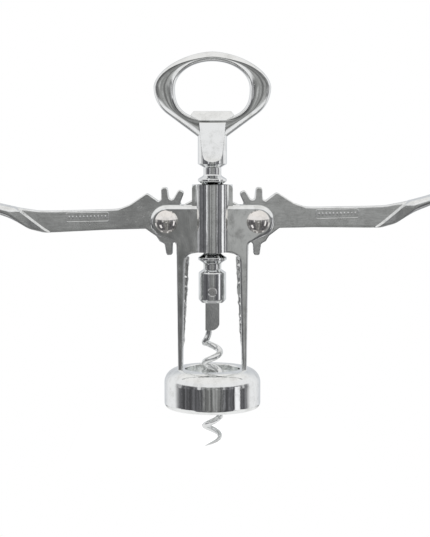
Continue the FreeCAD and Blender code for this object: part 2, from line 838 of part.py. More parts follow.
def makeHandle():
    handle = doc.addObject("Part::Feature", "opener_handle")
    handle.Label = "opener_handle"
    deep = size("ring_half_depth")
    plate = Part.Face(handleOutline())
    plate.translate(Vector(0, -deep, 0))
    plate = plate.extrude(Vector(0, 2 * deep, 0))
    high = size("eye_height")
    oval = Part.Ellipse(Vector(size("eye_half_width"), 0, high), Vector(0, 0, high + size("eye_half_height")),
                        Vector(0, 0, high))
    hole = Part.Face(Part.Wire(oval.toShape()))
    hole.translate(Vector(0, -10, 0))
    hole = hole.extrude(Vector(0, 20, 0))
    ring = plate.cut(hole)
    # both faces' edges of the ring are rounded, before the stem and the lip join it
    faceEdges = []
    for edge in ring.Edges:
        box = edge.BoundBox
        if near(box.YLength, 0) and box.ZMax > size("ring_foot_height") + 0.5:
            faceEdges.append(edge)
    ring = ring.makeFillet(size("ring_edge_round"), faceEdges)
    lipDeep = size("lip_half_depth")
    lipWide = size("lip_half_width")
    bottom = high - size("eye_half_height") - 2
    corner = Vector(-lipWide, -lipDeep, bottom)
    lip = Part.makeBox(2 * lipWide, 2 * lipDeep, size("lip_height") - bottom, corner)
    low = size("sleeve_top") + size("thrust_gap")
    radius = size("stem_radius")
    stem = Part.makeCone(size("stem_neck_radius"), radius, size("stem_chamfer"), Vector(0, 0, low))
    upper = low + size("stem_chamfer")
    stem = stem.fuse(Part.makeCylinder(radius, size("stem_top") - upper, Vector(0, 0, upper)))
    start = size("flat_start_height")
    top = size("stem_top")
    thin = size("flat_top_half_depth")
    slope = (radius - thin) / (top - start)
    wide = 2 * radius
    for side in (-1, 1):
        wedge = [Vector(-wide / 2, side * (radius + 0.02), start), Vector(-wide / 2, side * thin, top),
                 Vector(-wide / 2, side * (thin - 0.6 * slope), top + 0.6),
                 Vector(-wide / 2, side * 12, top + 0.6),
                 Vector(-wide / 2, side * 12, start)]
        wedge.append(wedge[0])
        stem = stem.cut(Part.Face(Part.makePolygon(wedge)).extrude(Vector(wide, 0, 0)))
    whole = ring.fuse(lip).fuse(stem).removeSplitter()
    deepHole = size("spindle_top") - low + 0.2
    bore = Part.makeCylinder(size("spindle_radius"), deepHole, Vector(0, 0, low - 0.2))
    handle.Shape = whole.cut(bore)
    return handle


def check(parts):
    doc.recompute()
    for thing in doc.Objects:
        if "Invalid" in thing.State or "Error" in thing.State:
            raise RuntimeError("%s isn't valid: %s" % (thing.Name, thing.State))
    for part in parts:
        if part.Shape.isNull() or not part.Shape.isValid():
            raise RuntimeError("%s has no valid shape" % part.Label)


def export(parts):
    os.makedirs("parts", exist_ok=True)
    for part in parts:
        part.Shape.exportStep("parts/%s.step" % part.Label)
        box = part.Shape.BoundBox
        print("%-20s solids %d volume %9.2f  x %7.2f..%7.2f  y %6.2f..%6.2f  z %7.2f..%7.2f" % (
            part.Label, len(part.Shape.Solids), part.Shape.Volume,
            box.XMin, box.XMax, box.YMin, box.YMax, box.ZMin, box.ZMax))


fillSheet()
parts = [
    makeFrame(),
    makeRackSleeve(),
    makeSocket(),
    makeSpindle(),
    makePin(),
    makeWorm(),
    makeHandle(),
    makeLever("lever_right", 1),
    makeLever("lever_left", -1),
    makeRivet("pivot_rivet_right", "pivot_spacing"),
    makeRivet("pivot_rivet_left", "-pivot_spacing"),
    makeWasher("rivet_washer_right", "pivot_spacing"),
    makeWasher("rivet_washer_left", "-pivot_spacing"),
]
check(parts)
export(parts)
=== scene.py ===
import math
import bpy
import numpy as np
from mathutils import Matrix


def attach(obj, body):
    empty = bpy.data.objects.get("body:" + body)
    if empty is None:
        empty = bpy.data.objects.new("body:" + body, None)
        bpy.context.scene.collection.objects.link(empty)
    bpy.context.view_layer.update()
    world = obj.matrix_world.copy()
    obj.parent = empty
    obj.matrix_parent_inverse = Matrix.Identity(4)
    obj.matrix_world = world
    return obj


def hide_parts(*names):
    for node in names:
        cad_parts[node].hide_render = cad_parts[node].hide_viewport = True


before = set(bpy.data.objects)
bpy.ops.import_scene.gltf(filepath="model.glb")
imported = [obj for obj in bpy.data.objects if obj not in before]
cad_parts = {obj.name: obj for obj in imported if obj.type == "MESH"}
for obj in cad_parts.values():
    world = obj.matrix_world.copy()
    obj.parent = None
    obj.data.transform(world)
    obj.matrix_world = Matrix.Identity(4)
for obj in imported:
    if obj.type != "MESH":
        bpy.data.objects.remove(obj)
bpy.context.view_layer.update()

print("frame loaded:", len(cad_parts), "nodes")

mm = 0.001


camera = {
    "place": (0.0011, -0.565, 0.1075),   # metres, in front of the tool and a little above its pivots
    "aim": (0.0011, 0.0, 0.0574),
    "lens": 90.0,
}


def makeCamera():
    data = bpy.data.cameras.new("camera")
    data.lens = camera["lens"]
    data.clip_start = 0.02
    data.clip_end = 50
    eye = bpy.data.objects.new("camera", data)
    bpy.context.scene.collection.objects.link(eye)
    place = np.array(camera["place"])
    way = np.array(camera["aim"]) - place
    eye.location = place
    eye.rotation_euler = (math.atan2(math.hypot(way[0], way[1]), -way[2]), 0, math.atan2(-way[0], way[1]))
    bpy.context.scene.camera = eye


makeCamera()
print("camera set")


class Nodes:
    # a thin wrapper that adds nodes and links them in one call each
    def __init__(self, tree):
        self.tree = tree

    def add(self, kind, inputs=None, **settings):
        node = self.tree.nodes.new(kind)
        for key, value in settings.items():
            setattr(node, key, value)
        for key, value in (inputs or {}).items():
            socket = node.inputs[key]
            if isinstance(value, bpy.types.NodeSocket):
                self.tree.links.new(value, socket)
            else:
                socket.default_value = value
        return node

    def math(self, operation, a, b=None):
        inputs = {0: a} if b is None else {0: a, 1: b}
        return self.add("ShaderNodeMath", inputs, operation=operation).outputs[0]

    def ramp(self, value, low, high, outLow=0.0, outHigh=1.0):
        # a smooth step from outLow to outHigh as the value goes from low to high
        inputs = {0: value, 1: low, 2: high, 3: outLow, 4: outHigh}
        return self.add("ShaderNodeMapRange", inputs, interpolation_type="SMOOTHSTEP").outputs[0]

    def mix(self, share, a, b):
        node = self.add("ShaderNodeMix", data_type="RGBA")
        for socket, value in zip((node.inputs[0], node.inputs[6], node.inputs[7]), (share, a, b)):
            if isinstance(value, bpy.types.NodeSocket):
                self.tree.links.new(value, socket)
            else:
                socket.default_value = value
        return node.outputs[2]


room = {
    "white": 0.84,         # the tent above and behind, as the plating mirrors it
    "grey": 0.27,          # the wall of the room behind the camera
    "dark": 0.15,          # the darker stretch on either side of it
    "line": 0.03,          # the darkest upright lines in it
    "floorLevel": -0.0195,
    "floorFront": -0.033,  # the white sheet stops here, so upright faces mirror the room beyond it
    "floorBack": 0.06,
    "floorHalfWidth": 0.06,
    "under": 0.24,         # what faces that look down mirror
    # the rest are angles in degrees, each a pair between which one tone runs into the next
    "openingSide": (84.0, 104.0),
    "openingTop": (8.0, 15.0),
    "darkSides": (12.0, 34.0),
    "tentBehind": (120.0, 165.0),
    "tentCrown": (25.0, 50.0),
    "lookingDown": (-34.0, -18.0),
    "straightDown": (-66.0, -50.0),
    "whiteClose": (0.04, 0.075),   # metres from the sheet over which its mirrored white fades
    "bandPitch": 0.16,             # cells of noise per degree, for the upright bands and for the lines
    "linePitch": 0.33,
}

windows = [
    # middle azimuth, half width, lowest and highest elevation in degrees, brightness
    (62.0, 7.0, -29.0, 6.0, 0.95),
    (-57.0, 10.0, -48.0, -24.0, 0.95),
    (-31.0, 4.0, -4.5, 20.0, 0.75),
    (27.0, 1.6, -4.5, 20.0, 0.55),
    (79.0, 3.0, -5.0, 20.0, 0.6),
    (-84.0, 5.0, -5.0, 20.0, 0.45),
]


def makeRoom():
    # a white tent, open in front: the direction a ray leaves in decides what it sees
    world = bpy.data.worlds.new("room")
    bpy.context.scene.world = world
    world.use_nodes = True
    tree = world.node_tree
    tree.nodes.clear()
    n = Nodes(tree)
    way = n.add("ShaderNodeTexCoord").outputs["Generated"]
    parts = n.add("ShaderNodeSeparateXYZ", {0: way})
    x, y, z = parts.outputs[0], parts.outputs[1], parts.outputs[2]
    front = n.math("MULTIPLY", y, -1.0)
    turn = n.math("MULTIPLY", n.math("ARCTAN2", x, front), 57.2958)
    rise = n.math("MULTIPLY", n.math("ARCSINE", z), 57.2958)
    aside = n.math("ABSOLUTE", turn)
    # the opening: to either side of straight ahead, and below the tent's top edge
    inside = n.math("SUBTRACT", 1.0, n.ramp(aside, *room["openingSide"]))
    over = n.math("SUBTRACT", 1.0, n.ramp(rise, *room["openingTop"]))
    opening = n.math("MULTIPLY", inside, over)
    # the room is mid grey straight ahead, darker to the sides, with uneven upright bands and lines
    sideways = n.ramp(aside, *room["darkSides"])
    grey = n.mix(sideways, (room["grey"], room["grey"] * 1.01, room["grey"], 1),
                 (room["dark"], room["dark"], room["dark"] * 1.06, 1))
    bandPlace = n.math("MULTIPLY", turn, room["bandPitch"])
    linePlace = n.math("ADD", n.math("MULTIPLY", turn, room["linePitch"]), 7.0)
    bands = n.add("ShaderNodeTexNoise", {"W": bandPlace, "Scale": 1.0, "Detail": 1.5},
                  noise_dimensions="1D").outputs["Fac"]
    lines = n.add("ShaderNodeTexNoise", {"W": linePlace, "Scale": 1.0, "Detail": 1.0},
                  noise_dimensions="1D").outputs["Fac"]
    patches = n.add("ShaderNodeTexNoise", {"Vector": way, "Scale": 9.0, "Detail": 1.0}).outputs["Fac"]
    level = n.math("MULTIPLY", n.ramp(bands, 0.36, 0.64, 0.68, 1.32), n.ramp(rise, -9.0, 6.0, 0.78, 1.15))
    level = n.math("MULTIPLY", level, n.ramp(patches, 0.35, 0.65, 0.7, 1.3))
    grey = n.add("ShaderNodeVectorMath", {0: grey, "Scale": level}, operation="SCALE").outputs[0]
    marks = n.math("MULTIPLY", n.ramp(lines, 0.63, 0.68), n.ramp(aside, 5.0, 8.0))
    grey = n.mix(n.math("MULTIPLY", marks, 0.85), grey, (room["line"], room["line"], room["line"], 1))
    for middle, half, lowest, highest, bright in windows:
        away = n.math("ABSOLUTE", n.math("SUBTRACT", turn, middle))
        across = n.math("SUBTRACT", 1.0, n.ramp(away, half * 0.75, half * 1.25))
        along = n.math("MULTIPLY", n.ramp(rise, lowest - 1.5, lowest + 1.5),
                       n.math("SUBTRACT", 1.0, n.ramp(rise, highest - 2.0, highest + 2.0)))
        grey = n.mix(n.math("MULTIPLY", across, along), grey, (bright, bright, bright * 1.02, 1))
    white = room["white"]
    behind = n.ramp(aside, *room["tentBehind"])
    tent = n.mix(behind, (white, white, white * 1.01, 1), (white * 0.74, white * 0.76, white * 0.79, 1))
    crown = n.ramp(rise, *room["tentCrown"])
    tent = n.mix(crown, tent, (white * 1.02, white * 1.01, white, 1))
    below = n.math("SUBTRACT", 1.0, n.ramp(rise, *room["lookingDown"]))
    tent = n.mix(below, tent, (room["under"], room["under"], room["under"] * 1.02, 1))
    straightDown = n.math("SUBTRACT", 1.0, n.ramp(rise, *room["straightDown"]))
    tent = n.mix(straightDown, tent, (white, white, white, 1))
    shade = n.mix(opening, tent, grey)
    seen = n.add("ShaderNodeLightPath").outputs["Is Camera Ray"]
    shade = n.mix(seen, shade, (1, 1, 1, 1))
    background = n.add("ShaderNodeBackground", {"Color": shade, "Strength": 1.0})
    n.add("ShaderNodeOutputWorld", {"Surface": background.outputs[0]})


makeRoom()


def makeFloor():
    # a pale sheet that the tool stands over, bright enough that it shows almost no shadow
    level = room["floorLevel"]
    wide = room["floorHalfWidth"]
    near, far = room["floorFront"], room["floorBack"]
    mesh = bpy.data.meshes.new("floor")
    mesh.from_pydata([(-wide, near, level), (wide, near, level), (wide, far, level), (-wide, far, level)],
                     [], [(0, 1, 2, 3)])
    floor = bpy.data.objects.new("floor", mesh)
    bpy.context.scene.collection.objects.link(floor)
    material = bpy.data.materials.new("paleFloor")
    material.use_nodes = True
    material.node_tree.nodes.clear()
    n = Nodes(material.node_tree)
    paint = n.add("ShaderNodeBsdfDiffuse", {"Color": (0.9, 0.9, 0.9, 1)})
    glow = n.add("ShaderNodeEmission", {"Color": (1, 1, 1, 1), "Strength": 0.7})
    both = n.add("ShaderNodeAddShader", {0: paint.outputs[0], 1: glow.outputs[0]})
    # only what is close above the sheet mirrors it as white
    path = n.add("ShaderNodeLightPath")
    close = n.ramp(path.outputs["Ray Length"], *room["whiteClose"], 0.86, room["under"])
    dim = n.add("ShaderNodeEmission", {"Color": (1, 1, 1, 1), "Strength": close})
    shown = n.add("ShaderNodeMixShader", {0: path.outputs["Is Camera Ray"], 1: dim.outputs[0],
                                          2: both.outputs[0]})
    n.add("ShaderNodeOutputMaterial", {"Surface": shown.outputs[0]})
    mesh.materials.append(material)


makeFloor()
bpy.context.scene.view_settings.view_transform = "Standard"
print("room and floor set")


def makeMetal(name, tint, rough, grain, waves, pits, streak=0.0, scale=1.0):
    # polished plating: slow waves of a cast surface, fine grain or streaks, small pits, and faint patches that are
    # rougher and also carry painted shade, a darker base colour standing in for dark reflections
    material = bpy.data.materials.new(name)
    material.use_nodes = True
    material.node_tree.nodes.clear()
    n = Nodes(material.node_tree)
    where = n.add("ShaderNodeTexCoord").outputs["Object"]
    wave = n.add("ShaderNodeTexNoise", {"Vector": where, "Scale": 90.0 * scale, "Detail": 2.0}).outputs["Fac"]
    fine = n.add("ShaderNodeTexNoise", {"Vector": where, "Scale": 2600.0 * scale, "Detail": 3.0}).outputs["Fac"]
    # large patches: rougher where the noise is high, and also painted darker in the base colour as painted shade
    # standing in for dark reflections
    dullAndPaintedShadePatches = n.add("ShaderNodeTexNoise", {"Vector": where, "Scale": 260.0 * scale, "Detail": 6.0,
                                        "Roughness": 0.66}).outputs["Fac"]
    stretched = n.add("ShaderNodeMapping", {"Vector": where, "Scale": (0.14, 1.0, 1.0)}).outputs[0]
    drawn = n.add("ShaderNodeTexNoise", {"Vector": stretched, "Scale": 1500.0 * scale, "Detail": 3.0,
                                         "Roughness": 0.7}).outputs["Fac"]
    cells = n.add("ShaderNodeTexVoronoi", {"Vector": where, "Scale": 420.0 * scale}).outputs["Distance"]
    pit = n.math("SUBTRACT", 1.0, n.ramp(cells, 0.04, 0.13))
    pit = n.math("MULTIPLY", pit, n.ramp(dullAndPaintedShadePatches, 0.57, 0.66))
    height = n.math("ADD", n.math("MULTIPLY", wave, waves), n.math("MULTIPLY", fine, grain))
    height = n.math("ADD", height, n.math("MULTIPLY", drawn, streak))
    height = n.math("SUBTRACT", height, n.math("MULTIPLY", pit, pits))
    bump = n.add("ShaderNodeBump", {"Height": height, "Distance": 0.001, "Strength": 1.0})
    dull = n.ramp(dullAndPaintedShadePatches, 0.45, 0.75, rough, rough * 2.2 + 0.03)
    dull = n.math("ADD", dull, n.math("MULTIPLY", pit, 0.25))
    # painted shade: a darker copy of the tint laid into the patches, standing in for dark reflections on the
    # chrome
    paintedShadeTone = (tint[0] * 0.80, tint[1] * 0.80, tint[2] * 0.79, 1)
    shade = n.mix(n.ramp(dullAndPaintedShadePatches, 0.42, 0.72, 0.0, 0.8), tint, paintedShadeTone)
    lined = n.math("MULTIPLY", n.ramp(drawn, 0.42, 0.68), min(1.0, streak * 60))
    shade = n.mix(lined, shade, (tint[0] * 0.74, tint[1] * 0.74, tint[2] * 0.74, 1))
    shade = n.mix(n.math("MULTIPLY", pit, 0.7), shade, (0.22, 0.21, 0.20, 1))
    shader = n.add("ShaderNodeBsdfPrincipled", {"Base Color": shade, "Metallic": 1.0, "Roughness": dull,
                                                "Normal": bump.outputs[0]})
    n.add("ShaderNodeOutputMaterial", {"Surface": shader.outputs[0]})
    return material


metals = {
    "cast": makeMetal("castChrome", (0.93, 0.94, 0.935, 1), 0.055, 0.006, 0.12, 0.03),
    "rough": makeMetal("roughCasting", (0.90, 0.90, 0.89, 1), 0.16, 0.03, 0.12, 0.12),
    "lever": makeMetal("leverChrome", (0.93, 0.94, 0.935, 1), 0.13, 0.012, 0.05, 0.05, streak=0.009),
    "turned": makeMetal("turnedChrome", (0.92, 0.93, 0.93, 1), 0.06, 0.005, 0.04, 0.02),
    "rivet": makeMetal("rivetChrome", (0.93, 0.90, 0.87, 1), 0.06, 0.004, 0.04, 0.01),
    "steel": makeMetal("plainSteel", (0.70, 0.70, 0.70, 1), 0.22, 0.014, 0.04, 0.03),
    "worm": makeMetal("wormSteel", (0.86, 0.87, 0.87, 1), 0.09, 0.010, 0.06, 0.03),
}

nodeMetals = {
    "frame": "cast",
    "rack_sleeve": "turned",
    "screw_socket": "turned",
    "spindle": "steel",
    "worm_pin": "steel",
    "worm": "worm",
    "opener_handle": "cast",
    "lever_right": "lever",
    "lever_left": "lever",
    "pivot_rivet_right": "rivet",
    "pivot_rivet_left": "rivet",
    "rivet_washer_right": "steel",
    "rivet_washer_left": "steel",
}


def clotheNodes():
    for name, metal in nodeMetals.items():
        thing = bpy.data.objects.get(name)
        slots = thing.material_slots
        for slot in slots:
            slot.material = metals[metal]
        if not slots:
            thing.data.materials.append(metals[metal])


clotheNodes()
print("metals made")


def newPiece(name, points, faces, body, node, metal, sharp):
    # points in metres and their faces, shaded smooth but for edges sharper than this angle in degrees
    mesh = bpy.data.meshes.new(name)
    mesh.from_pydata(points.reshape(-1, 3), [], faces)
    mesh.polygons.foreach_set("use_smooth", np.ones(len(mesh.polygons), bool))
    mesh.set_sharp_from_angle(angle=math.radians(sharp))
    mesh.update()
    piece = bpy.data.objects.new(name, mesh)
    bpy.context.scene.collection.objects.link(piece)
    mesh.materials.append(metals[metal])
    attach(piece, body)
    if node:
        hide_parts(node)
    return piece


def gridFaces(rows, columns, closeRows=False, closeColumns=True, first=0):
    # quads between neighbouring points of a grid, wrapped round where it closes
    i = np.arange(rows if closeRows else rows - 1)[:, None]
    j = np.arange(columns if closeColumns else columns - 1)[None, :]
    nextRow = (i + 1) % rows
    nextColumn = (j + 1) % columns
    quads = np.stack([i * columns + j, i * columns + nextColumn, nextRow * columns + nextColumn,
                      nextRow * columns + j], axis=-1)
    return (quads.reshape(-1, 4) + first).tolist()


def capFaces(columns, row, reverse, first=0):
    ring = (np.arange(columns) + row * columns + first).tolist()
    return [ring[::-1] if reverse else ring]


def smoothStep(value, low, high):
    # 0 below low, 1 above high, and a smooth S between them
    t = np.clip((value - low) / (high - low), 0, 1)
    return t * t * (3 - 2 * t)


def signedPower(value, power):
    return np.sign(value) * np.abs(value) ** power


def softCurve(knots, values, at, width):
    # straight runs between the knots, with their corners rounded by averaging over a short width
    steps = np.linspace(-1, 1, 21)[:, None] * width
    weights = np.cos(np.linspace(-1, 1, 21) * np.pi / 2) ** 2
    spread = np.interp(np.asarray(at)[None, :] + steps, knots, values)
    return (spread * weights[:, None]).sum(0) / weights.sum()


openerRing = {
    "halfWidth": 24.55, "wideLevel": 133.4, "topLevel": 148.15, "fullness": 1.74,
    "cornerRadius": 13.75, "footHalfWidth": 6.2, "footLevel": 112.9,
    "eyeHalfWidth": 15.6, "eyeLevel": 132.9, "eyeAbove": 11.2, "eyeBelow": 12.5, "eyeBelowFullness": 2.6,
    "ridge": 2.75, "dish": 0.36, "topRim": 2.3, "sideRim": 1.0, "innerRim": 1.1,
    "aroundCount": 360,
}


def openerOutline(angles):
    # the outer edge: half a superellipse on top, a round corner and straight flanks down to the stem,
    # resampled at each angle about the eye's centre
    r = openerRing
    t = np.linspace(0, np.pi, 400)
    power = 2 / r["fullness"]
    topX = r["halfWidth"] * signedPower(np.cos(t), power)
    topZ = r["wideLevel"] + (r["topLevel"] - r["wideLevel"]) * np.sin(t) ** power
    turn = np.linspace(0, math.atan2(4, 3), 60)[1:]
    middle = r["halfWidth"] - r["cornerRadius"]
    cornerX = middle + r["cornerRadius"] * np.cos(turn)
    cornerZ = r["wideLevel"] - r["cornerRadius"] * np.sin(turn)
    run = np.linspace(0, 1, 60)[1:]
    flankX = cornerX[-1] + (r["footHalfWidth"] - cornerX[-1]) * run
    flankZ = cornerZ[-1] + (r["footLevel"] - cornerZ[-1]) * run
    sideX = np.concatenate([cornerX, flankX])
    sideZ = np.concatenate([cornerZ, flankZ])
    x = np.concatenate([topX, -sideX, sideX[::-1]])
    z = np.concatenate([topZ, sideZ, sideZ[::-1]])
    own = np.unwrap(np.arctan2(z - r["eyeLevel"], x))
    order = np.argsort(own % (2 * np.pi))
    own = (own % (2 * np.pi))[order]
    x, z = x[order], z[order]
    return np.interp(angles, own, x, period=2 * np.pi), np.interp(angles, own, z, period=2 * np.pi)


def eyeOutline(angles):
    # the eye: round above, squarer below; each point lies on the ray at this angle
    r = openerRing
    a = r["eyeHalfWidth"]
    below = np.sin(angles) < 0
    b = np.where(below, r["eyeBelow"], r["eyeAbove"])
    n = np.where(below, r["eyeBelowFullness"], 2.0)
    reach = (np.abs(np.cos(angles) / a) ** n + np.abs(np.sin(angles) / b) ** n) ** (-1 / n)
    return reach * np.cos(angles), r["eyeLevel"] + reach * np.sin(angles)


def makeOpenerRing():
    # a band carried round the eye: at each angle its section runs from the outer edge over a rounded rim to a
    # ridge, across a slightly dished face to the inner rim, and back the same way behind
    r = openerRing
    angles = np.linspace(0, 2 * np.pi, r["aroundCount"], endpoint=False)
    outX, outZ = openerOutline(angles)
    inX, inZ = eyeOutline(angles)
    width = np.hypot(outX - inX, outZ - inZ)
    top = smoothStep(np.sin(angles), 0.1, 0.95)
    rim = (r["sideRim"] + (r["topRim"] - r["sideRim"]) * top)[:, None]
    inner = np.full_like(rim, r["innerRim"])
    slope = math.radians(68)
    a = np.linspace(0, slope, 9)[None, :]
    rimAcross = rim * (1 - np.cos(a)) / (1 - math.cos(slope))
    rimOut = r["ridge"] * np.sin(a) / math.sin(slope) * np.ones_like(rim)
    s = np.linspace(0, 1, 12)[None, 1:-1]
    faceAcross = rim + (width[:, None] - rim - inner) * s
    faceOut = r["ridge"] - r["dish"] * np.sin(np.pi * s) ** 0.7 * np.ones_like(rim)
    innerAcross = width[:, None] - inner * (1 - np.cos(a[:, ::-1])) / (1 - math.cos(slope))
    innerOut = (r["ridge"] * np.sin(a[:, ::-1]) / math.sin(slope)) * np.ones_like(rim)
    across = np.concatenate([rimAcross, faceAcross, innerAcross], axis=1)
    out = np.concatenate([rimOut, faceOut, innerOut], axis=1)
    share = across / width[:, None]
    x = outX[:, None] + (inX - outX)[:, None] * share
    z = outZ[:, None] + (inZ - outZ)[:, None] * share
    x = np.concatenate([x, x[:, -2:0:-1]], axis=1)
    z = np.concatenate([z, z[:, -2:0:-1]], axis=1)
    y = np.concatenate([-out, out[:, -2:0:-1]], axis=1)
    points = np.stack([x, y, z], axis=-1) * mm
    rows, columns = x.shape
    faces = [face[::-1] for face in gridFaces(rows, columns, closeRows=True)]
    return newPiece("openerRing", points, faces, "screw", "opener_handle", "cast", 30)


openerStem = {
    "radius": 6.1, "neck": 3.75, "bottom": 99.9, "shoulder": 101.5, "top": 119.1,
    "flatLevels": [102.3, 103.5, 105.6, 118.4, 118.85, 119.1], "flatHalfDepths": [6.15, 5.05, 4.4, 2.7, 2.45, 1.9],
}


def makeOpenerStem():
    # a round bar whose front and back are cut by two slanted flats, so each flat ends in a U at the bottom
    r = openerStem
    levels = np.concatenate([[r["bottom"], r["bottom"]], np.linspace(r["bottom"] + 0.15, r["shoulder"] - 0.12, 5),
                             np.linspace(r["shoulder"] + 0.1, r["top"], 90)])
    radius = np.interp(levels, [r["bottom"], r["bottom"] + 0.15, r["shoulder"] - 0.12, r["shoulder"] + 0.1],
                       [r["neck"] - 0.15, r["neck"], r["radius"] - 0.12, r["radius"]])
    radius[0] = 0.01
    flat = softCurve(r["flatLevels"], r["flatHalfDepths"], levels, 0.3)
    turn = np.linspace(0, 2 * np.pi, 240, endpoint=False)
    x = radius[:, None] * np.cos(turn)
    y = radius[:, None] * np.sin(turn)
    y = np.clip(y, -flat[:, None], flat[:, None])
    z = levels[:, None] * np.ones_like(x)
    points = np.stack([x, y, z], axis=-1) * mm
    rows, columns = x.shape
    faces = gridFaces(rows, columns) + capFaces(columns, 0, True) + capFaces(columns, rows - 1, False)
    return newPiece("openerStem", points, faces, "screw", "opener_handle", "cast", 24)


openerLip = {
    "halfWidth": 10.6, "plateau": 7.5, "crest": 123.5, "dip": 121.5, "foot": 119.4, "footHalfDepth": 2.75,
}


def makeOpenerLip():
    # a wedge carried across the eye's lower edge: its crest is level in the middle and falls away at both ends,
    # its front and back slope outward down to a blunt foot
    r = openerLip
    x = np.linspace(-r["halfWidth"], r["halfWidth"], 80)
    fall = smoothStep(np.abs(x), r["plateau"], r["halfWidth"])
    crest = r["dip"] - 1.2 + (r["crest"] - r["dip"] + 1.2) * (1 - fall)
    drop = np.array([0.0, 0.02, 0.1, 0.9, 0.97, 1.0])
    half = np.array([0.35, 0.6, 0.78, 2.4, 2.45, 1.2]) / 2.45
    fade = 1 - 0.5 * smoothStep(np.abs(x), 5.5, r["halfWidth"])
    z = crest[:, None] + (r["foot"] - crest[:, None]) * drop
    depth = r["footHalfDepth"] * half[None, :] * fade[:, None]
    z = np.concatenate([z, z[:, ::-1]], axis=1)
    y = np.concatenate([depth, -depth[:, ::-1]], axis=1)
    points = np.stack([x[:, None] * np.ones_like(z), y, z], axis=-1) * mm
    rows, columns = z.shape
    faces = gridFaces(rows, columns) + capFaces(columns, 0, True) + capFaces(columns, rows - 1, False)
    faces = [face[::-1] for face in faces]
    return newPiece("openerLip", points, faces, "screw", "opener_handle", "cast", 30)


makeOpenerRing()
makeOpenerStem()
makeOpenerLip()
print("opener made")


lever = {
    "pivotReach": 19.1, "pivotLevel": 77.5, "play": 1.2, "length": 83.9,
    "hubHalfDepth": 2.5, "rootRadius": 9.2, "tipRadius": 14.25,
    "toothRootHalf": 1.7, "toothTipHalf": 1.35, "firstTooth": 93.2, "toothStep": 30.0, "toothCount": 7,
    "edgeRound": 0.45,
    # from the last tooth over the square shoulder to the arm, and back below to the first tooth
    "shoulder": [[3.4, 8.6], [7.4, 11.55], [8.3, 11.85], [9.2, 11.4], [15.5, 7.3], [20.4, 5.5], [20.4, 3.0],
                 [20.4, -2.2], [19.5, -3.05], [9.0, -3.0], [4.6, -6.2], [3.2, -8.4]],
}

leverTop = {
    "reach": [4.0, 14.0, 20.5, 24.0, 46.0, 54.0, 62.0, 72.0, 84.0],
    "level": [7.8, 7.3, 5.6, 5.45, 5.35, 5.5, 6.95, 9.4, 13.4],
}
leverBottom = {
    "reach": [4.0, 9.0, 24.0, 47.0, 51.5, 57.5, 62.5, 67.0, 84.0],
    "level": [-3.1, -3.0, -3.05, -3.75, -3.75, -2.1, 0.9, 3.0, 9.4],
}
leverDepth = {
    "reach": [4.0, 21.0, 46.0, 84.0],
    "half": [2.51, 2.51, 2.15, 2.3],
}
paddleDepth = {
    "reach": [46.0, 52.0, 58.0, 66.0, 76.0, 80.0, 84.0],
    "half": [2.5, 3.2, 4.8, 6.4, 6.2, 5.2, 4.0],
    "start": 48.5, "full": 64.5, "blend": 0.045,   # where its line leaves the lower edge and meets the upper one
    "tipRound": 5.5, "armPower": 13.0, "rimPower": 2.6,
}


def placeLever(x, y, z, side):
    # turned about the pivot by the gears' play, mirrored for the left side, and moved to its pivot
    turn = math.radians(lever["play"]) * side
    across = x * math.cos(turn) - z * math.sin(turn)
    up = x * math.sin(turn) + z * math.cos(turn)
    return np.stack([side * (across + lever["pivotReach"]), y, up + lever["pivotLevel"]], axis=-1) * mm


def sideName(side):
    return "Right" if side > 0 else "Left"


def makeLeverArm(side):
    # upright sections along the lever: a flat-sided plate on the arm, and below a line that climbs from the
    # arm's lower edge to its upper one the wider paddle, rounded along its rim and closed at its tip
    reach = np.concatenate([np.linspace(5.0, 47.0, 30), np.linspace(47.3, 66.0, 130),
                            np.linspace(66.5, lever["length"], 44)])
    top = softCurve(leverTop["reach"], leverTop["level"], reach, 2.5)
    bottom = softCurve(leverBottom["reach"], leverBottom["level"], reach, 2.0)
    plate = softCurve(leverDepth["reach"], leverDepth["half"], reach, 3.0)
    wide = softCurve(paddleDepth["reach"], paddleDepth["half"], reach, 3.0)
    endShare = ((reach - lever["length"]) / paddleDepth["tipRound"] + 1).clip(0, 1)
    tip = np.sqrt(np.clip(1 - endShare ** 2, 0.0004, 1))
    middle = (top + bottom) / 2
    tall = (top - bottom) / 2 * np.minimum(tip * 1.6, 1) ** 0.8
    climb = np.clip((reach - paddleDepth["start"]) / (paddleDepth["full"] - paddleDepth["start"]), 0, 1)
    rounder = smoothStep(reach, 54.0, 66.0)
    power = paddleDepth["armPower"] + (paddleDepth["rimPower"] - paddleDepth["armPower"]) * rounder
    half = plate + (wide - plate) * climb
    turn = np.linspace(0, 2 * np.pi, 220, endpoint=False)[None, :]
    # a superellipse in polar form: r = (|cos t / half| ** power + |sin t / tall| ** power) ** (-1 / power)
    out = (np.abs(np.cos(turn) / half[:, None]) ** power[:, None]
           + np.abs(np.sin(turn) / tall[:, None]) ** power[:, None]) ** (-1 / power[:, None])
    z = middle[:, None] + out * np.sin(turn)
    height = 0.5 + out * np.sin(turn) / (2 * tall[:, None])
    blend = paddleDepth["blend"]
    line = (-blend + (1 + 2 * blend) * climb)[:, None]
    low = 1 - smoothStep(height, line - blend, line + blend)
    y = out * np.cos(turn) / half[:, None] * (plate[:, None] + (wide - plate)[:, None] * low) * tip[:, None]
    x = reach[:, None] * np.ones_like(y)
    points = placeLever(x, y, z, side)
    rows, columns = y.shape
    faces = gridFaces(rows, columns) + capFaces(columns, 0, True) + capFaces(columns, rows - 1, False)
    if side < 0:
        faces = [face[::-1] for face in faces]
    name = sideName(side)
    return newPiece("leverArm" + name, points, faces, name.lower() + "_lever", "lever_" + name.lower(),
                    "lever", 40)


